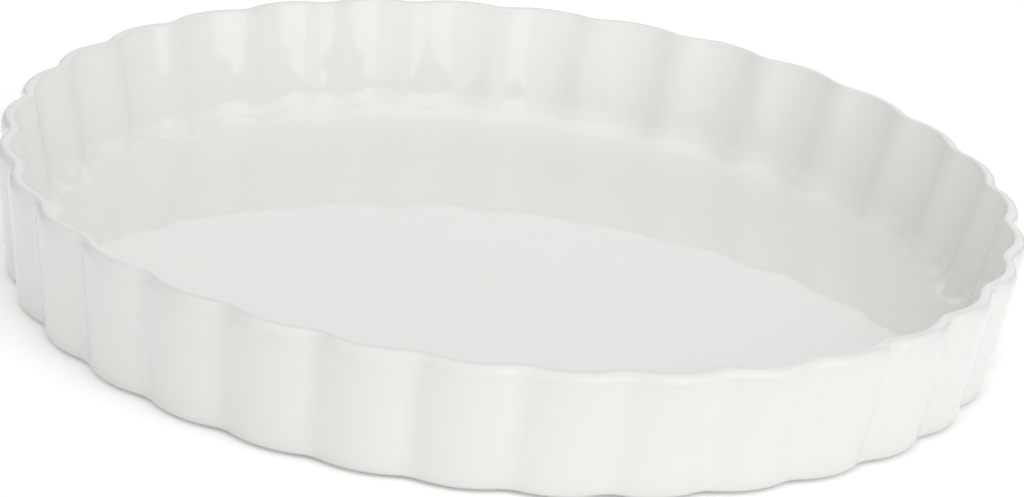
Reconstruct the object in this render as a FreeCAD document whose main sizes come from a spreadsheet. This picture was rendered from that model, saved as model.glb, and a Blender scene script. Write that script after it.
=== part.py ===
import FreeCAD, Part
import math
import os

import Sketcher

# Round fluted quiche dish: a fired stoneware body, a glaze coat over its inside, rim and outer wall,
# and a second glaze patch on the underside, kept apart from the first by the bare foot ring.
# Millimetres, +Z up, origin on the table at the centre of the foot ring.

# Driving dimensions, measured on the finished dish, over the glaze.
SIZES = {
    "rim_diameter": 280.0,  # across the flute crests at the rim
    "base_diameter": 268.0,  # across the flute crests where the wall would meet the table
    "dish_height": 37.0,  # table to the top of the rim
    "flute_count": 32,
    "flute_depth": 2.3,  # crest to valley
    "valley_radius": 9.0,  # hollow between two flutes, on the outside
    "rim_wall": 4.0,  # wall at the rim
    "base_wall": 6.4,  # wall where it would meet the table: the inside leans more than the outside
    "floor_level": 5.2,  # table to the cooking surface
    "cove_radius": 7.5,  # inside, where the wall runs into the floor
    "rim_inner": 0.9,  # rounding of the rim's inner edge
    "rim_outer": 2.6,  # and of its outer edge, so that the rim slopes outward
    "heel_radius": 1.4,  # outside, where the wall runs into the underside
    "foot_height": 1.2,  # table to the underside of the clay
    "foot_diameter": 252.0,  # outer edge of the bearing face
    "foot_width": 5.0,  # bearing face
    "foot_flare": 1.0,  # how far each flank has spread by the middle of the floor
    "glaze": 0.4,
}

# The dish is two nested fluted bowls, the clay and the clay with its coat. Each bowl takes four
# outlines: (height, side of the wall, how far the outline lies under the finished surface).
OUTLINES = {
    "clay_heel": ("foot_height", "outside", "glaze"),
    "clay_rim": ("dish_height - glaze", "outside", "glaze"),
    "clay_floor": ("floor_level - glaze", "inside", "glaze"),
    "clay_mouth": ("dish_height + rim_outer", "inside", "glaze"),
    "coated_heel": ("foot_height - glaze", "outside", "0"),
    "coated_rim": ("dish_height", "outside", "0"),
    "coated_floor": ("floor_level", "inside", "0"),
    "coated_mouth": ("dish_height + rim_outer", "inside", "0"),
}

RIM_SHARE = 0.9  # the most of the wall's thickness that the two rim roundings may take
TOLERANCE = 1e-4
UP = FreeCAD.Vector(0, 0, 1)
START, END = 1, 2  # the two ends of a sketch line or arc
ORIGIN, X_AXIS = (-1, 1), -1


def make_sheet(doc):
    """The spreadsheet: driving dimensions, then the measures of each outline worked out from them."""
    cells = dict(SIZES)
    for name, (level, side, skin) in OUTLINES.items():
        inset = skin if side == "outside" else f"{name}_wall - {skin}"
        share = f"{name}_level / dish_height"
        cells[f"{name}_level"] = f"={level}"
        cells[f"{name}_wall"] = f"=base_wall + (rim_wall - base_wall) * {share}"
        cells[f"{name}_outside"] = f"=(base_diameter + (rim_diameter - base_diameter) * {share}) / 2"
        cells[f"{name}_crest"] = f"={name}_outside - ({inset})"
        cells[f"{name}_valley"] = f"={name}_crest - flute_depth"
        cells[f"{name}_hollow"] = f"=valley_radius + {inset}"
    sheet = doc.addObject("Spreadsheet::Sheet", "sizes")
    for row, (name, content) in enumerate(cells.items(), start=1):
        sheet.set(f"A{row}", name)
        sheet.set(f"B{row}", str(content))
        sheet.setAlias(f"B{row}", name)
    doc.recompute()
    return sheet


def flute_points(crest, valley, hollow, half_turn):
    """Points of one flute: a round crest on +X, tangent to the hollow centred on the half-turn line."""
    reach = valley + hollow
    top = crest + hollow
    centre = (top**2 - reach**2) / (2 * (top - reach * math.cos(half_turn)))
    toward_hollow = FreeCAD.Vector(math.cos(half_turn), math.sin(half_turn), 0)
    crest_centre = FreeCAD.Vector(centre, 0, 0)
    meeting = crest_centre + (toward_hollow * reach - crest_centre).normalize() * (crest - centre)
    before = FreeCAD.Vector(meeting.x, -meeting.y, 0)
    after = FreeCAD.Rotation(UP, math.degrees(2 * half_turn)).multVec(before)
    return before, FreeCAD.Vector(crest, 0, 0), meeting, toward_hollow * valley, after


def flute_sketch(doc, sheet, name):
    """One flute of a named outline, at its height: the crest's arc and the hollow after it."""
    half_turn = math.pi / sheet.flute_count
    measures = [getattr(sheet, f"{name}_{measure}") for measure in ("crest", "valley", "hollow")]
    before, peak, meeting, bottom, after = flute_points(*measures, half_turn)
    sketch = doc.addObject("Sketcher::SketchObject", f"{name}_flute")
    sketch.setExpression("Placement.Base.z", f"sizes.{name}_level")
    crest_arc = sketch.addGeometry(Part.Arc(before, peak, meeting))
    hollow_arc = sketch.addGeometry(Part.Arc(meeting, bottom, after))
    peak_line = sketch.addGeometry(Part.LineSegment(FreeCAD.Vector(), peak), True)
    bottom_line = sketch.addGeometry(Part.LineSegment(FreeCAD.Vector(), bottom), True)
    # The hollow's arc is stored anticlockwise about its own centre, so it ends where the crest ends.
    sketch.addConstraint(
        [
            Sketcher.Constraint("Coincident", peak_line, START, *ORIGIN),
            Sketcher.Constraint("Coincident", bottom_line, START, *ORIGIN),
            Sketcher.Constraint("Horizontal", peak_line),
            Sketcher.Constraint("PointOnObject", peak_line, END, crest_arc),
            Sketcher.Constraint("PointOnObject", bottom_line, END, hollow_arc),
            Sketcher.Constraint("Symmetric", crest_arc, START, crest_arc, END, X_AXIS),
            Sketcher.Constraint("Symmetric", hollow_arc, START, hollow_arc, END, bottom_line),
            Sketcher.Constraint("Tangent", crest_arc, END, hollow_arc, END),
        ]
    )
    bind(sketch, "crest", Sketcher.Constraint("Distance", peak_line, measures[0]), f"sizes.{name}_crest")
    bind(sketch, "valley", Sketcher.Constraint("Distance", bottom_line, measures[1]), f"sizes.{name}_valley")
    bind(sketch, "hollow", Sketcher.Constraint("Radius", hollow_arc, measures[2]), f"sizes.{name}_hollow")
    angle = Sketcher.Constraint("Angle", peak_line, START, bottom_line, START, half_turn)
    bind(sketch, "half_turn", angle, "180 deg / sizes.flute_count")
    return sketch


def bind(sketch, label, constraint, expression):
    """Add a dimension to a sketch and tie it to the sheet."""
    sketch.renameConstraint(sketch.addConstraint(constraint), label)
    sketch.setExpression(f"Constraints.{label}", expression)


def make_outline(doc, sheet, name):
    """A whole scalloped outline: the outline's flute repeated round the dish."""
    sketch = flute_sketch(doc, sheet, name)
    doc.recompute()
    edges = []
    for flute in range(sheet.flute_count):
        turned = sketch.Shape.copy()
        turned.rotate(FreeCAD.Vector(), UP, 360.0 / sheet.flute_count * flute)
        edges.extend(turned.Edges)
    outline = doc.addObject("Part::Feature", f"{name}_outline")
    outline.Shape = Part.Wire(Part.__sortEdges__(edges))
    return outline


def make_loft(doc, name, sections):
    """A solid with straight sides between two outlines."""
    loft = doc.addObject("Part::Loft", name)
    loft.Sections = sections
    loft.Solid = True
    loft.Ruled = True
    return loft


def make_cut(doc, name, base, tool):
    """One solid less another."""
    cut = doc.addObject("Part::Cut", name)
    cut.Base = base
    cut.Tool = tool
    return cut


def make_bowl(doc, sheet, name, skin):
    """A fluted bowl through the four outlines of that name, rounded at its cove, rim and heel.

    skin is how far the bowl lies under the finished surface."""
    heel_line, rim_line, floor_line, mouth_line = [
        make_outline(doc, sheet, f"{name}_{place}") for place in ("heel", "rim", "floor", "mouth")
    ]
    block = make_loft(doc, f"{name}_block", [heel_line, rim_line])
    hollow = make_loft(doc, f"{name}_hollow", [floor_line, mouth_line])
    sharp = make_cut(doc, f"{name}_sharp", block, hollow)
    doc.recompute()
    squeeze = min(1, RIM_SHARE * sheet.rim_wall / (sheet.rim_inner + sheet.rim_outer))
    roundings = (
        (heel_line, sheet.heel_radius - skin),
        (floor_line, sheet.cove_radius + skin),
        (rim_line, sheet.rim_outer * squeeze - skin),
    )
    rim_level = getattr(sheet, f"{name}_rim_level")
    edges = []
    for number, edge in enumerate(sharp.Shape.Edges, start=1):
        middle = edge.valueAt((edge.FirstParameter + edge.LastParameter) / 2)
        point = Part.Vertex(middle)
        radii = [radius for line, radius in roundings if line.Shape.distToShape(point)[0] < TOLERANCE]
        if not radii and abs(middle.z - rim_level) < TOLERANCE:
            radii = [sheet.rim_inner * squeeze - skin]
        edges.extend((number, radius, radius) for radius in radii)
    bowl = doc.addObject("Part::Fillet", f"{name}_bowl")
    bowl.Base = sharp
    bowl.Edges = edges
    return bowl


def make_foot(doc, sheet):
    """The foot ring: a wedge turned about the dish's axis, from the table to the middle of the floor."""
    body = doc.addObject("PartDesign::Body", "foot_ring")
    sketch = body.newObject("Sketcher::SketchObject", "foot_section")
    upright = next(plane for plane in body.Origin.OriginFeatures if plane.Role == "XZ_Plane")
    sketch.AttachmentSupport = (upright, [""])
    sketch.MapMode = "FlatFace"
    outside = sheet.foot_diameter / 2
    inside = outside - sheet.foot_width
    top = (sheet.foot_height + sheet.floor_level) / 2
    corners = [(inside, 0), (outside, 0), (outside + sheet.foot_flare, top), (inside - sheet.foot_flare, top)]
    points = [FreeCAD.Vector(x, y, 0) for x, y in corners]
    for number, point in enumerate(points):
        sketch.addGeometry(Part.LineSegment(point, points[(number + 1) % 4]))
    bearing, outer_flank, buried, inner_flank = range(4)
    sketch.addConstraint(
        [
            Sketcher.Constraint("Coincident", bearing, END, outer_flank, START),
            Sketcher.Constraint("Coincident", outer_flank, END, buried, START),
            Sketcher.Constraint("Coincident", buried, END, inner_flank, START),
            Sketcher.Constraint("Coincident", inner_flank, END, bearing, START),
            Sketcher.Constraint("PointOnObject", bearing, START, X_AXIS),
            Sketcher.Constraint("Horizontal", bearing),
            Sketcher.Constraint("Horizontal", buried),
            Sketcher.Constraint("Equal", outer_flank, inner_flank),
        ]
    )
    place = Sketcher.Constraint("DistanceX", *ORIGIN, bearing, END, outside)
    bind(sketch, "outside", place, "sizes.foot_diameter / 2")
    width = Sketcher.Constraint("DistanceX", bearing, START, bearing, END, sheet.foot_width)
    bind(sketch, "width", width, "sizes.foot_width")
    flare = Sketcher.Constraint("DistanceX", bearing, END, outer_flank, END, sheet.foot_flare)
    bind(sketch, "flare", flare, "sizes.foot_flare")
    height = Sketcher.Constraint("DistanceY", bearing, END, outer_flank, END, top)
    bind(sketch, "height", height, "(sizes.foot_height + sizes.floor_level) / 2")
    turned = body.newObject("PartDesign::Revolution", "foot_turned")
    turned.Profile = sketch
    turned.ReferenceAxis = (sketch, ["V_Axis"])
    turned.Angle = 360
    return body


def make_underside_disc(doc):
    """A disc of glaze thickness under the clay, out to the middle of the foot ring."""
    disc = doc.addObject("Part::Cylinder", "underside_disc")
    disc.setExpression("Radius", "(sizes.foot_diameter - sizes.foot_width) / 2")
    disc.setExpression("Height", "sizes.glaze")
    disc.setExpression("Placement.Base.z", "sizes.foot_height - sizes.glaze")
    return disc


def check(doc):
    """Stop where a feature failed or left no sound shape."""
    for item in doc.Objects:
        if {"Invalid", "Error"} & set(item.State):
            raise RuntimeError(f"{item.Name} failed: {item.State}")
        shape = getattr(item, "Shape", None)
        if item.isDerivedFrom("Part::Feature") and (shape.isNull() or not shape.isValid()):
            raise RuntimeError(f"{item.Name} has no sound shape")


def main():
    doc = FreeCAD.newDocument("quiche_dish")
    sheet = make_sheet(doc)
    clay = make_bowl(doc, sheet, "clay", sheet.glaze)
    coated = make_bowl(doc, sheet, "coated", 0)
    foot = make_foot(doc, sheet)
    body = doc.addObject("Part::Fuse", "stoneware_body")
    body.Base = clay
    body.Tool = foot
    disc = make_underside_disc(doc)
    open_coat = make_cut(doc, "open_coat", coated, disc)
    coat = make_cut(doc, "main_glaze", open_coat, body)
    patch = make_cut(doc, "underside_glaze", disc, foot)
    doc.recompute()
    check(doc)
    os.makedirs("parts", exist_ok=True)
    for node in (body, coat, patch):
        node.Shape.exportStep(f"parts/{node.Label}.step")


main()
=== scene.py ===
"""Round fluted quiche dish in glossy white glazed stoneware, on a plain pale studio floor."""

import math

import bpy
import numpy as np
from mathutils import Matrix, Vector


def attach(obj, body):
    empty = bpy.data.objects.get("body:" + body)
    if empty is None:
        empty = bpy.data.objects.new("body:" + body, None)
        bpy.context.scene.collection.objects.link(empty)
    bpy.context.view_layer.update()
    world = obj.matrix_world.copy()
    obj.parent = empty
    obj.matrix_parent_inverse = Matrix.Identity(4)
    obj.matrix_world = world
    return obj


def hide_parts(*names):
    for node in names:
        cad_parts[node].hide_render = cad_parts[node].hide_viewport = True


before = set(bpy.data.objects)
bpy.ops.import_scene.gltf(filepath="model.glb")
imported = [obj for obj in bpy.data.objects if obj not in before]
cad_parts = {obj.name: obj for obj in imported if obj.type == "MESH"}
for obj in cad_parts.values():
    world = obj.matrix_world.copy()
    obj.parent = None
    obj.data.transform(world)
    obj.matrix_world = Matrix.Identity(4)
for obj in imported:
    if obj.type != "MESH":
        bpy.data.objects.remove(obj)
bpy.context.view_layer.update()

bl_info = {
    "name": "Fluted quiche dish",
    "version": (1, 0, 0),
    "blender": (4, 5, 0),
    "location": "3D View > Sidebar > Quiche dish",
    "description": "Builds a glazed, fluted baking dish around its packed solids",
    "category": "Add Mesh",
}

PHOTO_WIDTH = 1024  # pixels across the frame
FOCAL_PIXELS = 6500  # focal length in the frame's pixels
SENSOR = 36.0  # millimetres across the frame
BODY = "root"  # the dish has no moving parts, so every piece rides on this body
SEED = 7
TINY = 1e-12  # keeps a division from meeting zero

# Mesh of the glaze
CREST_STEPS = 14  # mesh columns over one flute's crest
HOLLOW_STEPS = 10  # and over the hollow after it
FACE_RINGS = {  # mesh rings over each stretch of the coat's visible face
    "floor": 26,
    "cove": 11,
    "wall": 18,
    "inner_rim": 9,
    "rim_top": 1,
    "outer_rim": 12,
    "heel": 6,
    "under": 3,
}
BACK_RINGS = {  # and over its back, which lies on the clay
    "floor": 3,
    "cove": 7,
    "wall": 1,
    "inner_rim": 4,
    "rim_top": 1,
    "outer_rim": 6,
    "heel": 3,
    "under": 1,
}
ROUND_FLOOR = 0.97  # circle that the floor's inner rings follow, as a share of its narrowest radius
FLUTE_ONSET = 8  # power by which the rings take on the flutes: a high one keeps these to the cove
PATCH_COLUMNS = 192  # mesh columns round the underside's glaze
PATCH_RINGS = 48  # and its rings from the middle to the foot ring
SHARP_EDGE = math.radians(50)  # a mesh edge that turns by more is shaded as an edge

# Glaze and clay, lengths in metres
WAVE_COUNT = 60  # plane waves summed into one ripple
COAT_WAVES = (0.006, 0.030)  # shortest and longest wave of the main coat's ripple
PATCH_WAVES = (0.02, 0.08)  # and of the underside's
FLOOR_RIPPLE = 0.3  # share of the ripple on the floor and the cove, where the glaze levelled
MIDDLE_RINGS = 5  # rings from the middle of the floor over which that share sets in
RISE_RINGS = 4  # rings from the cove up over which the ripple grows to its full size
PATCH_EDGE = 1 / 12  # part of the underside's radius over which its ripple dies out
EVEN_DEPTH = 0.5  # depth of a level coat, on a scale from 0 for thin to 1 for pooled
THIN_RADIUS = 0.003  # glaze runs thin over an edge sharper than this, and pools in such a hollow
FLOW_ROUNDS = 3  # how often the glaze's depth is evened out
GLAZE_IOR = 1.52
SMEAR = 1.8  # roughness of a smeared patch of glaze, in times that of the clean glaze
CLAY_CLOUD = 1.12  # brightness of the clay's palest clouds, in times its main colour

# Studio, in metres
FLOOR_HALF = 6.0  # half the side of the square floor
FLOOR_DROP = 0.00005  # floor under the foot, so that the two faces do not coincide


class DishShape(bpy.types.PropertyGroup):
    """Sizes of the finished dish, over the glaze."""

    rim_diameter: bpy.props.FloatProperty(
        name="Rim diameter",
        description="Across the flute crests at the rim, before its rounding",
        default=0.280,
        unit="LENGTH",
    )
    base_diameter: bpy.props.FloatProperty(
        name="Base diameter",
        description="Across the flute crests where the wall would meet the table",
        default=0.268,
        unit="LENGTH",
    )
    dish_height: bpy.props.FloatProperty(
        name="Height",
        description="Table to the top of the rim",
        default=0.037,
        unit="LENGTH",
    )
    flute_count: bpy.props.IntProperty(
        name="Flutes",
        description="Number of flutes round the dish",
        default=32,
    )
    flute_depth: bpy.props.FloatProperty(
        name="Flute depth",
        description="Crest to valley",
        default=0.0023,
        unit="LENGTH",
    )
    valley_radius: bpy.props.FloatProperty(
        name="Valley radius",
        description="Hollow between two flutes, on the outside",
        default=0.009,
        unit="LENGTH",
    )
    rim_wall: bpy.props.FloatProperty(
        name="Wall at the rim",
        description="Thickness of the wall at the rim",
        default=0.004,
        unit="LENGTH",
    )
    base_wall: bpy.props.FloatProperty(
        name="Wall at the base",
        description="Thickness of the wall where it would meet the table",
        default=0.0064,
        unit="LENGTH",
    )
    floor_level: bpy.props.FloatProperty(
        name="Floor level",
        description="Table to the cooking surface",
        default=0.0052,
        unit="LENGTH",
    )
    cove_radius: bpy.props.FloatProperty(
        name="Cove radius",
        description="Inside, where the wall runs into the floor",
        default=0.0075,
        unit="LENGTH",
    )
    rim_inner: bpy.props.FloatProperty(
        name="Inner rim rounding",
        description="Radius of the rim's inner edge",
        default=0.0009,
        unit="LENGTH",
    )
    rim_outer: bpy.props.FloatProperty(
        name="Outer rim rounding",
        description="Radius of the rim's outer edge, so that the rim slopes outward",
        default=0.0026,
        unit="LENGTH",
    )
    heel_radius: bpy.props.FloatProperty(
        name="Heel radius",
        description="Outside, where the wall runs into the underside",
        default=0.0014,
        unit="LENGTH",
    )
    foot_height: bpy.props.FloatProperty(
        name="Foot height",
        description="Table to the underside of the clay",
        default=0.0012,
        unit="LENGTH",
    )
    foot_diameter: bpy.props.FloatProperty(
        name="Foot diameter",
        description="Outer edge of the foot ring's bearing face",
        default=0.252,
        unit="LENGTH",
    )
    foot_width: bpy.props.FloatProperty(
        name="Foot width",
        description="Width of the foot ring's bearing face",
        default=0.005,
        unit="LENGTH",
    )
    foot_flare: bpy.props.FloatProperty(
        name="Foot flare",
        description="How far each flank of the foot ring has spread by the middle of the floor",
        default=0.001,
        unit="LENGTH",
    )
    glaze: bpy.props.FloatProperty(
        name="Glaze thickness",
        description="Thickness of the glass coat on the clay",
        default=0.0004,
        unit="LENGTH",
    )
    ripple: bpy.props.FloatProperty(
        name="Glaze ripple",
        description="How far the fired glaze waves in and out of a true surface",
        default=0.00006,
        unit="LENGTH",
    )


class DishFinish(bpy.types.PropertyGroup):
    """Colours and gloss of the glaze and the bare clay."""

    glaze_white: bpy.props.FloatVectorProperty(
        name="Glaze",
        description="Main colour of the glaze",
        subtype="COLOR",
        default=(0.815, 0.81, 0.785),
    )
    glaze_thin: bpy.props.FloatVectorProperty(
        name="Thin glaze",
        description="Glaze where it has run thin over an edge",
        subtype="COLOR",
        default=(0.755, 0.75, 0.727),
    )
    glaze_pooled: bpy.props.FloatVectorProperty(
        name="Pooled glaze",
        description="Glaze where it has gathered in a hollow",
        subtype="COLOR",
        default=(0.82, 0.82, 0.80),
    )
    gloss: bpy.props.FloatProperty(
        name="Glaze roughness",
        description="Roughness of the clean glaze",
        default=0.014,
        subtype="FACTOR",
    )
    clay: bpy.props.FloatVectorProperty(
        name="Bare clay",
        description="Fired clay of the foot ring",
        subtype="COLOR",
        default=(0.62, 0.55, 0.45),
    )
    clay_speck: bpy.props.FloatVectorProperty(
        name="Clay speck",
        description="Darker grains in the fired clay",
        subtype="COLOR",
        default=(0.30, 0.24, 0.18),
    )


class DishStudio(bpy.types.PropertyGroup):
    """The floor, the lights and the camera."""

    floor_white: bpy.props.FloatVectorProperty(
        name="Floor",
        description="Colour of the studio floor",
        subtype="COLOR",
        default=(0.93, 0.93, 0.93),
    )
    ambient: bpy.props.FloatProperty(
        name="Ambient light",
        description="Strength of the even light from all round, 1 being white",
        default=0.30,
    )
    front: bpy.props.FloatProperty(
        name="Front light",
        description="Strength that the studio's light front adds to the even light",
        default=0.99,
    )
    floor_glow: bpy.props.FloatProperty(
        name="Floor glow",
        description="Light added to the floor where the camera or a reflection sees it, to make it white",
        default=0.21,
    )
    key: bpy.props.FloatProperty(
        name="Key light",
        description="Brightness that the soft box at the right front adds",
        default=0.92,
    )
    left: bpy.props.FloatProperty(
        name="Left light",
        description="Brightness that the soft box at the left adds",
        default=0.49,
    )
    right: bpy.props.FloatProperty(
        name="Right light",
        description="Brightness that the soft box at the right adds",
        default=0.63,
    )
    back: bpy.props.FloatProperty(
        name="Back light",
        description="Brightness that the soft box behind the dish adds",
        default=0.80,
    )
    top: bpy.props.FloatProperty(
        name="Top light",
        description="Brightness that the soft box over the dish adds",
        default=0.86,
    )
    azimuth: bpy.props.FloatProperty(
        name="Camera azimuth",
        description="Turn of the camera round the dish from the front",
        default=math.radians(2.279),
        subtype="ANGLE",
    )
    elevation: bpy.props.FloatProperty(
        name="Camera elevation",
        description="How far the camera looks down",
        default=math.radians(21.252),
        subtype="ANGLE",
    )
    roll: bpy.props.FloatProperty(
        name="Camera roll",
        description="Tilt of the frame: the right side of the dish hangs lower",
        default=math.radians(6.484),
        subtype="ANGLE",
    )
    distance: bpy.props.FloatProperty(
        name="Camera distance",
        description="Lens to the dish's origin, along the view",
        default=1.7671,
        unit="LENGTH",
    )
    shift_across: bpy.props.FloatProperty(
        name="Aim across",
        description="How far the dish's origin lies right of the frame's middle",
        default=-0.00346,
        unit="LENGTH",
    )
    shift_down: bpy.props.FloatProperty(
        name="Aim down",
        description="How far the dish's origin lies below the frame's middle",
        default=0.01387,
        unit="LENGTH",
    )
    focal: bpy.props.FloatProperty(
        name="Focal length",
        description="Focal length in widths of the frame",
        default=FOCAL_PIXELS / PHOTO_WIDTH,
    )


def outside_at(shape, level):
    """Radius of a flute's crest on the finished outside at a height."""
    return (shape.base_diameter + (shape.rim_diameter - shape.base_diameter) * level / shape.dish_height) / 2


def wall_at(shape, level):
    """Thickness of the wall at a height."""
    return shape.base_wall + (shape.rim_wall - shape.base_wall) * level / shape.dish_height


def inside_at(shape, level):
    """Radius of a flute's crest on the finished inside at a height."""
    return outside_at(shape, level) - wall_at(shape, level)


def fluted_rings(shape, crests, insets):
    """Plan points of scalloped rings, one ring for each crest radius and depth under the outside.

    Rings at different depths are parallel: crest and hollow keep their centres."""
    crest = np.asarray(crests)[:, None]
    hollow = shape.valley_radius + np.asarray(insets)[:, None]
    half_turn = math.pi / shape.flute_count
    reach = crest - shape.flute_depth + hollow
    top = crest + hollow
    centre = (top**2 - reach**2) / (2 * (top - reach * math.cos(half_turn)))
    swing = np.arctan2(reach * math.sin(half_turn), reach * math.cos(half_turn) - centre)
    along_crest = np.linspace(-1, 1, CREST_STEPS, endpoint=False)[None, :]
    along_hollow = np.linspace(-1, 1, HOLLOW_STEPS, endpoint=False)[None, :]
    crest_turn = swing * along_crest
    crest_x = centre + (crest - centre) * np.cos(crest_turn)
    crest_y = (crest - centre) * np.sin(crest_turn)
    hollow_turn = math.pi + half_turn - (swing - half_turn) * along_hollow
    hollow_x = reach * math.cos(half_turn) + hollow * np.cos(hollow_turn)
    hollow_y = reach * math.sin(half_turn) + hollow * np.sin(hollow_turn)
    one_x = np.concatenate([crest_x, hollow_x], axis=1)
    one_y = np.concatenate([crest_y, hollow_y], axis=1)
    turns = 2 * half_turn * np.arange(shape.flute_count)
    x = np.concatenate([one_x * math.cos(t) - one_y * math.sin(t) for t in turns], axis=1)
    y = np.concatenate([one_x * math.sin(t) + one_y * math.cos(t) for t in turns], axis=1)
    return x, y


def arc(centre, radius, start, stop, steps):
    """Points of an arc in the section of the wall, angles in radians from outward."""
    turn = np.linspace(start, stop, steps)
    return [(centre[0] + radius * math.cos(t), centre[1] + radius * math.sin(t)) for t in turn]


def straight(start, stop, steps):
    """Points strictly between two section points."""
    share = np.linspace(0, 1, steps + 2)[1:-1]
    return [(start[0] + (stop[0] - start[0]) * s, start[1] + (stop[1] - start[1]) * s) for s in share]


def corner_centre(wall_foot, lean, level, radius, away):
    """Centre of a rounding between a leaning wall and a level face.

    wall_foot is the wall's radius at the level, lean its outward run for each unit of rise, and away is
    (-1, 1) for a centre inside the wall line and above the face, and so on."""
    side, rise = away
    slant = math.hypot(1, lean)
    height = level + rise * radius
    return wall_foot + lean * (height - level) + side * radius * slant, height


def coat_section(shape, skin, rings):
    """Section of the coat from the floor's edge, up the inside, over the rim and down to the underside.

    skin is the depth under the finished surface, and rings the number of points over each stretch. The points
    are (crest radius, height)."""
    outer_lean = (outside_at(shape, shape.dish_height) - outside_at(shape, 0)) / shape.dish_height
    inner_lean = (inside_at(shape, shape.dish_height) - inside_at(shape, 0)) / shape.dish_height
    outer_tilt = math.atan(outer_lean)
    inner_tilt = math.atan(inner_lean)
    quarter = math.pi / 2
    floor = shape.floor_level - skin
    top = shape.dish_height - skin
    heel = shape.foot_height - shape.glaze + skin
    cove_radius = shape.cove_radius + skin
    inner_radius = shape.rim_inner - skin
    outer_radius = shape.rim_outer - skin
    heel_radius = shape.heel_radius - skin
    centre = corner_centre(inside_at(shape, floor) + skin, inner_lean, floor, cove_radius, (-1, 1))
    cove_edge = arc(centre, cove_radius, -quarter, -inner_tilt, rings["cove"])
    centre = corner_centre(inside_at(shape, top) + skin, inner_lean, top, inner_radius, (1, -1))
    inner_edge = arc(centre, inner_radius, math.pi - inner_tilt, quarter, rings["inner_rim"])
    centre = corner_centre(outside_at(shape, top) - skin, outer_lean, top, outer_radius, (-1, -1))
    outer_edge = arc(centre, outer_radius, quarter, -outer_tilt, rings["outer_rim"])
    centre = corner_centre(outside_at(shape, heel) - skin, outer_lean, heel, heel_radius, (-1, 1))
    heel_edge = arc(centre, heel_radius, -outer_tilt, -quarter, rings["heel"])
    points = list(cove_edge)
    points += straight(cove_edge[-1], inner_edge[0], rings["wall"])
    points += inner_edge
    points += straight(inner_edge[-1], outer_edge[0], rings["rim_top"])
    points += outer_edge
    points += straight(outer_edge[-1], heel_edge[0], rings["wall"])
    points += heel_edge
    return np.array(points)


def foot_flanks(shape, level):
    """Radii of the foot ring's inner and outer flank at a height."""
    spread = shape.foot_flare * level / ((shape.foot_height + shape.floor_level) / 2)
    outer = shape.foot_diameter / 2
    return outer - shape.foot_width - spread, outer + spread


def flat_rings(reach, turn, level):
    """Rings at one height, from the reach of their points and the direction of each column."""
    x = reach * np.cos(turn)
    y = reach * np.sin(turn)
    return np.stack([x, y, np.full_like(x, level)])


def floor_rings(x, y, level, count):
    """Rings of the floor inside its fluted edge, round near the middle and fluted toward the cove."""
    edge = np.hypot(x, y)[None, :]
    share = np.linspace(0, 1, count + 1)[1:-1, None]
    round_edge = edge.min() * ROUND_FLOOR
    reach = share * (round_edge + (edge - round_edge) * share**FLUTE_ONSET)
    return flat_rings(reach, np.arctan2(y, x), level)


def under_rings(x, y, level, count, foot):
    """Rings of the underside, from the fluted heel in to the round foot ring."""
    edge = np.hypot(x, y)[None, :]
    share = np.linspace(0, 1, count + 1)[1:, None]
    return flat_rings(edge + (foot - edge) * share, np.arctan2(y, x), level)


def coat_side(shape, skin, rings):
    """Rings of one side of the coat, from the middle of the floor to the foot ring."""
    section = coat_section(shape, skin, rings)
    radius, level = section.T
    outside = np.array([outside_at(shape, z) for z in level])
    x, y = fluted_rings(shape, radius, outside - radius)
    z = np.repeat(level[:, None], x.shape[1], axis=1)
    foot = foot_flanks(shape, level[-1])[1]
    floor = floor_rings(x[0], y[0], level[0], rings["floor"])
    under = under_rings(x[-1], y[-1], level[-1], rings["under"], foot)
    return np.concatenate([floor, np.stack([x, y, z]), under], axis=1)


def ring_normals(rings):
    """Outward normals of a closed stack of rings."""
    around = np.roll(rings, -1, axis=2) - np.roll(rings, 1, axis=2)
    along = np.gradient(rings, axis=1)
    normal = np.cross(along, around, axis=0)
    return normal / np.maximum(np.linalg.norm(normal, axis=0), TINY)


def bend(rings, normal):
    """How sharply the surface curves at each point: above zero on edges, below zero in hollows."""
    total = 0.0
    for axis in (1, 2):
        step = np.roll(rings, -1, axis=axis) - np.roll(rings, 1, axis=axis)
        turn = np.roll(normal, -1, axis=axis) - np.roll(normal, 1, axis=axis)
        total = total + (turn * step).sum(axis=0) / np.maximum((step**2).sum(axis=0), TINY)
    total[0] = 0.0
    total[-1] = 0.0
    return total


def flow(depth, rounds):
    """Even the glaze's depth out between neighbouring points, as it does while it melts."""
    for _ in range(rounds):
        depth = (np.roll(depth, 1, axis=1) + 2 * depth + np.roll(depth, -1, axis=1)) / 4
        depth[1:-1] = (depth[:-2] + 2 * depth[1:-1] + depth[2:]) / 4
    return depth


def ripple_field(points, draws, waves):
    """A smooth random field of unit size, the sum of many plane waves between the two lengths in waves."""
    shortest, longest = waves
    field = np.zeros(points.shape[1:])
    for _ in range(WAVE_COUNT):
        heading = draws.normal(size=3)
        heading /= np.linalg.norm(heading)
        length = shortest * (longest / shortest) ** draws.random()
        phase = draws.random() * 2 * math.pi
        wave = np.tensordot(heading, points, axes=1) * (2 * math.pi / length)
        field += np.sin(wave + phase) * (length / longest)
    return field / math.sqrt(WAVE_COUNT / 2)


def ripple_share(count):
    """Share of the ripple at each ring of the coat's face: little on the floor, all of it on the wall."""
    last = count - 1
    wall = FACE_RINGS["floor"] + FACE_RINGS["cove"]
    stops = [0, MIDDLE_RINGS, wall, wall + RISE_RINGS, last - FACE_RINGS["under"], last]
    return np.interp(np.arange(count), stops, [0, FLOOR_RIPPLE, FLOOR_RIPPLE, 1, 1, 0])


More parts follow.
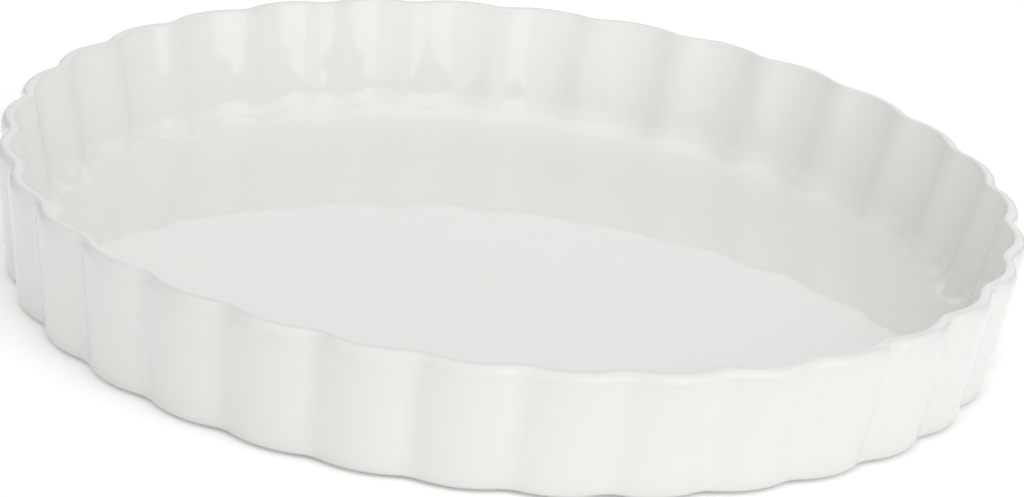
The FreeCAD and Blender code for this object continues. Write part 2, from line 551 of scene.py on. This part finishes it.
def mesh_from_rings(name, rings, poles):
    """A closed mesh of quads over a stack of rings, with a fan at each end."""
    count, columns = rings.shape[1:]
    points = rings.transpose(1, 2, 0).reshape(-1, 3)
    points = np.vstack([points, poles])
    start = np.arange(count - 1)[:, None] * columns
    column = np.arange(columns)[None, :]
    after = (column + 1) % columns
    below = start + columns
    quads = np.stack([start + column, below + column, below + after, start + after], axis=-1)
    faces = quads.reshape(-1, 4).tolist()
    last_pole = len(points) - 1
    first_pole = last_pole - 1
    end = (count - 1) * columns
    for here in range(columns):
        there = (here + 1) % columns
        faces.append((first_pole, here, there))
        faces.append((last_pole, end + there, end + here))
    mesh = bpy.data.meshes.new(name)
    mesh.from_pydata(points.tolist(), [], faces)
    mesh.validate()
    mesh.update()
    return mesh


def add_piece(name, mesh, material, node):
    """Put a mesh in the scene as a piece that stands for a solid."""
    mesh.polygons.foreach_set("use_smooth", [True] * len(mesh.polygons))
    mesh.set_sharp_from_angle(angle=SHARP_EDGE)
    piece = bpy.data.objects.new(name, mesh)
    bpy.context.scene.collection.objects.link(piece)
    piece.data.materials.append(material)
    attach(piece, BODY)
    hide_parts(node)


def new_material(name):
    """A material with only an output and a Principled shader."""
    material = bpy.data.materials.new(name)
    material.use_nodes = True
    tree = material.node_tree
    tree.nodes.clear()
    output = tree.nodes.new("ShaderNodeOutputMaterial")
    shader = tree.nodes.new("ShaderNodeBsdfPrincipled")
    tree.links.new(shader.outputs["BSDF"], output.inputs["Surface"])
    return material, tree, shader


def noise(tree, source, scale, detail):
    """A noise texture over the places that a socket gives."""
    node = tree.nodes.new("ShaderNodeTexNoise")
    node.inputs["Scale"].default_value = scale
    node.inputs["Detail"].default_value = detail
    tree.links.new(source, node.inputs["Vector"])
    return node.outputs["Fac"]


def remap(tree, source, low, high, to_low=0.0, to_high=1.0):
    """A value stretched from one range to another."""
    node = tree.nodes.new("ShaderNodeMapRange")
    node.inputs["From Min"].default_value = low
    node.inputs["From Max"].default_value = high
    node.inputs["To Min"].default_value = to_low
    node.inputs["To Max"].default_value = to_high
    tree.links.new(source, node.inputs["Value"])
    return node.outputs["Result"]


def blend_colours(tree, factor, first, second):
    """A mix of two colours, each a socket or a colour value."""
    node = tree.nodes.new("ShaderNodeMix")
    node.data_type = "RGBA"
    tree.links.new(factor, node.inputs["Factor"])
    for socket, colour in ((node.inputs["A"], first), (node.inputs["B"], second)):
        if isinstance(colour, bpy.types.NodeSocket):
            tree.links.new(colour, socket)
        else:
            socket.default_value = (*colour, 1.0)
    return node.outputs["Result"]


def add_bump(tree, shader, height, strength, distance):
    """Roughen a shader's surface by a height socket, distance being its full height in metres."""
    bump = tree.nodes.new("ShaderNodeBump")
    bump.inputs["Strength"].default_value = strength
    bump.inputs["Distance"].default_value = distance
    tree.links.new(height, bump.inputs["Height"])
    tree.links.new(bump.outputs["Normal"], shader.inputs["Normal"])


def glaze_material(finish):
    """Glossy white glaze: duller where thin, whiter where pooled, with faint clouds and a fine peel."""
    material, tree, shader = new_material("white_glaze")
    place = tree.nodes.new("ShaderNodeTexCoord").outputs["Object"]
    depth = tree.nodes.new("ShaderNodeAttribute")
    depth.attribute_name = "glaze_depth"
    thin = remap(tree, depth.outputs["Fac"], low=EVEN_DEPTH, high=0.0)
    pooled = remap(tree, depth.outputs["Fac"], low=EVEN_DEPTH, high=1.0)
    cloud = noise(tree, place, scale=35.0, detail=3.0)
    drift = remap(tree, cloud, low=0.3, high=0.7, to_high=0.35)
    tone = blend_colours(tree, pooled, finish.glaze_white, finish.glaze_pooled)
    tone = blend_colours(tree, thin, tone, finish.glaze_thin)
    tone = blend_colours(tree, drift, tone, finish.glaze_pooled)
    tree.links.new(tone, shader.inputs["Base Color"])
    smear = noise(tree, place, scale=18.0, detail=4.0)
    rough = remap(tree, smear, low=0.35, high=0.7, to_low=finish.gloss, to_high=finish.gloss * SMEAR)
    tree.links.new(rough, shader.inputs["Roughness"])
    peel = noise(tree, place, scale=320.0, detail=2.0)
    add_bump(tree, shader, peel, strength=0.05, distance=0.00004)
    shader.inputs["IOR"].default_value = GLAZE_IOR
    return material


def clay_material(finish):
    """Bare fired clay: cream, matt and rough to the touch, with darker grains."""
    material, tree, shader = new_material("bare_clay")
    place = tree.nodes.new("ShaderNodeTexCoord").outputs["Object"]
    cloud = noise(tree, place, scale=60.0, detail=5.0)
    grain = tree.nodes.new("ShaderNodeTexVoronoi")
    grain.inputs["Scale"].default_value = 900.0
    tree.links.new(place, grain.inputs["Vector"])
    paler = tuple(c * CLAY_CLOUD for c in finish.clay)
    base = blend_colours(tree, cloud, finish.clay, paler)
    speck = remap(tree, grain.outputs["Distance"], low=0.10, high=0.22, to_low=0.7, to_high=0.0)
    colour = blend_colours(tree, speck, base, finish.clay_speck)
    tree.links.new(colour, shader.inputs["Base Color"])
    rough = remap(tree, cloud, low=0.3, high=0.7, to_low=0.75, to_high=0.95)
    tree.links.new(rough, shader.inputs["Roughness"])
    tooth = noise(tree, place, scale=1500.0, detail=3.0)
    add_bump(tree, shader, tooth, strength=0.4, distance=0.0001)
    return material


def set_glaze_depth(mesh, values):
    """Keep how deep the glaze lies at the mesh's first points. It is even at the others."""
    layer = mesh.attributes.new("glaze_depth", "FLOAT", "POINT")
    depth = np.full(len(mesh.vertices), EVEN_DEPTH, np.float32)
    depth[: values.size] = values.ravel()
    layer.data.foreach_set("value", depth)


class DISH_OT_clay_body(bpy.types.Operator):
    """Give the fired body its bare clay finish"""

    bl_idname = "dish.clay_body"
    bl_label = "Finish the stoneware body"

    def execute(self, context):
        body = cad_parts["stoneware_body"]
        body.data.materials.clear()
        body.data.materials.append(clay_material(context.scene.dish_finish))
        return {"FINISHED"}


class DISH_OT_main_glaze(bpy.types.Operator):
    """Make the glaze coat over the inside, the rim and the outer wall"""

    bl_idname = "dish.main_glaze"
    bl_label = "Make the main glaze"

    def execute(self, context):
        shape = context.scene.dish_shape
        draws = np.random.default_rng(SEED)
        face = coat_side(shape, 0.0, FACE_RINGS)
        back = coat_side(shape, shape.glaze, BACK_RINGS)
        share = ripple_share(face.shape[1])[:, None]
        wave = ripple_field(face, draws, COAT_WAVES) * shape.ripple * share
        normal = ring_normals(face)
        face = face + normal * wave
        rings = np.concatenate([face, back[:, ::-1]], axis=1)
        poles = [(0, 0, shape.floor_level), (0, 0, shape.floor_level - shape.glaze)]
        mesh = mesh_from_rings("main_glaze_coat", rings, poles)
        depth = EVEN_DEPTH * (1 - np.tanh(bend(face, normal) * THIN_RADIUS))
        set_glaze_depth(mesh, flow(depth, FLOW_ROUNDS))
        material = glaze_material(context.scene.dish_finish)
        add_piece("main_glaze_coat", mesh, material, "main_glaze")
        return {"FINISHED"}


class DISH_OT_underside_glaze(bpy.types.Operator):
    """Make the glaze patch inside the foot ring"""

    bl_idname = "dish.underside_glaze"
    bl_label = "Make the underside glaze"

    def execute(self, context):
        shape = context.scene.dish_shape
        draws = np.random.default_rng(SEED + 1)
        top = shape.foot_height
        low = top - shape.glaze
        turn = np.linspace(0, 2 * math.pi, PATCH_COLUMNS, endpoint=False)[None, :]
        share = np.linspace(0, 1, PATCH_RINGS + 1)[1:, None]
        upper = flat_rings(share * foot_flanks(shape, top)[0], turn, top)
        lower = flat_rings(share * foot_flanks(shape, low)[0], turn, low)
        wave = ripple_field(lower, draws, PATCH_WAVES) * shape.ripple
        lower[2] += wave * np.clip((1 - share) / PATCH_EDGE, 0, 1)
        rings = np.concatenate([upper, lower[:, ::-1]], axis=1)
        poles = [(0, 0, top), (0, 0, lower[2, 0].mean())]
        mesh = mesh_from_rings("underside_glaze_patch", rings, poles)
        set_glaze_depth(mesh, np.empty(0))
        material = glaze_material(context.scene.dish_finish)
        add_piece("underside_glaze_patch", mesh, material, "underside_glaze")
        return {"FINISHED"}


def seen_or_mirrored(tree):
    """1 where the camera looks at the material, also in a reflection or through glass, and 0 elsewhere."""
    path = tree.nodes.new("ShaderNodeLightPath")
    seen = path.outputs["Is Camera Ray"]
    for ray in ("Is Glossy Ray", "Is Transmission Ray"):
        either = tree.nodes.new("ShaderNodeMath")
        either.operation = "MAXIMUM"
        tree.links.new(seen, either.inputs[0])
        tree.links.new(path.outputs[ray], either.inputs[1])
        seen = either.outputs["Value"]
    return seen


def make_floor(studio):
    """A wide pale floor that looks white and keeps the dish's shadow."""
    mesh = bpy.data.meshes.new("studio_floor")
    sides = ((-1, -1), (1, -1), (1, 1), (-1, 1))
    corners = [(x * FLOOR_HALF, y * FLOOR_HALF, -FLOOR_DROP) for x, y in sides]
    mesh.from_pydata(corners, [], [(0, 1, 2, 3)])
    floor = bpy.data.objects.new("studio_floor", mesh)
    bpy.context.scene.collection.objects.link(floor)
    material, tree, shader = new_material("studio_floor")
    shader.inputs["Base Color"].default_value = (*studio.floor_white, 1.0)
    shader.inputs["Roughness"].default_value = 0.9
    shader.inputs["Specular IOR Level"].default_value = 0.0
    shader.inputs["Emission Color"].default_value = (1.0, 1.0, 1.0, 1.0)
    glow = remap(tree, seen_or_mirrored(tree), low=0.0, high=1.0, to_high=studio.floor_glow)
    tree.links.new(glow, shader.inputs["Emission Strength"])
    floor.data.materials.append(material)


def direction(azimuth, elevation):
    """Unit vector from the dish toward a direction, azimuth 0 being the front and turning to the right."""
    level = math.cos(elevation)
    return Vector((math.sin(azimuth) * level, -math.cos(azimuth) * level, math.sin(elevation)))


def make_world(scene, studio):
    """Soft light from all round, more of it from the front."""
    world = bpy.data.worlds.new("studio")
    scene.world = world
    world.use_nodes = True
    tree = world.node_tree
    tree.nodes.clear()
    output = tree.nodes.new("ShaderNodeOutputWorld")
    background = tree.nodes.new("ShaderNodeBackground")
    toward = tree.nodes.new("ShaderNodeTexCoord").outputs["Generated"]
    facing = tree.nodes.new("ShaderNodeVectorMath")
    facing.operation = "DOT_PRODUCT"
    facing.inputs[1].default_value = direction(azimuth=0.0, elevation=0.0)
    tree.links.new(toward, facing.inputs[0])
    even = studio.ambient
    front = even + studio.front
    strength = remap(tree, facing.outputs["Value"], low=0.0, high=1.0, to_low=even, to_high=front)
    background.inputs["Color"].default_value = (1.0, 1.0, 1.0, 1.0)
    tree.links.new(strength, background.inputs["Strength"])
    tree.links.new(background.outputs["Background"], output.inputs["Surface"])


def add_soft_box(name, brightness, size, azimuth, elevation, distance):
    """A rectangular lamp that faces the dish from a direction in degrees."""
    lamp = bpy.data.lights.new(name, "AREA")
    lamp.shape = "RECTANGLE"
    lamp.size, lamp.size_y = size
    lamp.energy = brightness * math.pi * lamp.size * lamp.size_y
    box = bpy.data.objects.new(name, lamp)
    bpy.context.scene.collection.objects.link(box)
    toward = direction(math.radians(azimuth), math.radians(elevation))
    box.location = toward * distance
    box.rotation_euler = toward.to_track_quat("Z", "Y").to_euler()
    box.visible_camera = False


def make_lights(studio):
    """Soft boxes at the right front, the left, the right, behind the dish and over it."""
    add_soft_box("key", studio.key, size=(1.05, 1.3), azimuth=50, elevation=24, distance=1.3)
    add_soft_box("left", studio.left, size=(1.0, 0.8), azimuth=-95, elevation=20, distance=1.5)
    add_soft_box("right", studio.right, size=(1.0, 1.0), azimuth=100, elevation=25, distance=1.4)
    add_soft_box("back", studio.back, size=(2.0, 0.9), azimuth=180, elevation=22, distance=1.6)
    add_soft_box("top", studio.top, size=(1.6, 1.6), azimuth=0, elevation=88, distance=1.5)


def make_camera(scene, studio):
    """The camera at the photograph's angle."""
    data = bpy.data.cameras.new("camera")
    camera = bpy.data.objects.new("camera", data)
    scene.collection.objects.link(camera)
    data.sensor_fit = "HORIZONTAL"
    data.sensor_width = SENSOR
    data.lens = studio.focal * SENSOR
    data.clip_start = 0.05
    data.clip_end = 50.0
    right = Vector((math.cos(studio.azimuth), math.sin(studio.azimuth), 0))
    back = direction(studio.azimuth, studio.elevation)
    up = back.cross(right)
    across = right * math.cos(studio.roll) + up * math.sin(studio.roll)
    upward = up * math.cos(studio.roll) - right * math.sin(studio.roll)
    place = back * studio.distance - across * studio.shift_across + upward * studio.shift_down
    turn = Matrix((across, upward, back)).transposed().to_4x4()
    camera.matrix_world = Matrix.Translation(place) @ turn
    scene.camera = camera


class DISH_OT_stage(bpy.types.Operator):
    """Make the floor, the lights and the camera"""

    bl_idname = "dish.stage"
    bl_label = "Set the studio"

    def execute(self, context):
        studio = context.scene.dish_studio
        make_floor(studio)
        make_world(context.scene, studio)
        make_lights(studio)
        make_camera(context.scene, studio)
        context.scene.view_settings.view_transform = "Standard"
        return {"FINISHED"}


class DISH_PT_panel(bpy.types.Panel):
    """Lists the steps that build the dish"""

    bl_idname = "DISH_PT_panel"
    bl_label = "Quiche dish"
    bl_space_type = "VIEW_3D"
    bl_region_type = "UI"
    bl_category = "Quiche dish"

    def draw(self, context):
        for step in STEPS:
            self.layout.operator(step.bl_idname)


GROUPS = {"dish_shape": DishShape, "dish_finish": DishFinish, "dish_studio": DishStudio}
STEPS = (DISH_OT_clay_body, DISH_OT_main_glaze, DISH_OT_underside_glaze, DISH_OT_stage)


def register():
    """Register the settings, the steps and the panel."""
    for name, group in GROUPS.items():
        bpy.utils.register_class(group)
        setattr(bpy.types.Scene, name, bpy.props.PointerProperty(type=group))
    for step in STEPS:
        bpy.utils.register_class(step)
    bpy.utils.register_class(DISH_PT_panel)


def unregister():
    """Take back what register did, in reverse order."""
    bpy.utils.unregister_class(DISH_PT_panel)
    for step in reversed(STEPS):
        bpy.utils.unregister_class(step)
    for name, group in reversed(GROUPS.items()):
        delattr(bpy.types.Scene, name)
        bpy.utils.unregister_class(group)


def main():
    """Build the dish and its studio."""
    register()
    bpy.ops.dish.clay_body()
    bpy.ops.dish.main_glaze()
    bpy.ops.dish.underside_glaze()
    bpy.ops.dish.stage()


if __name__ == "__main__":
    main()
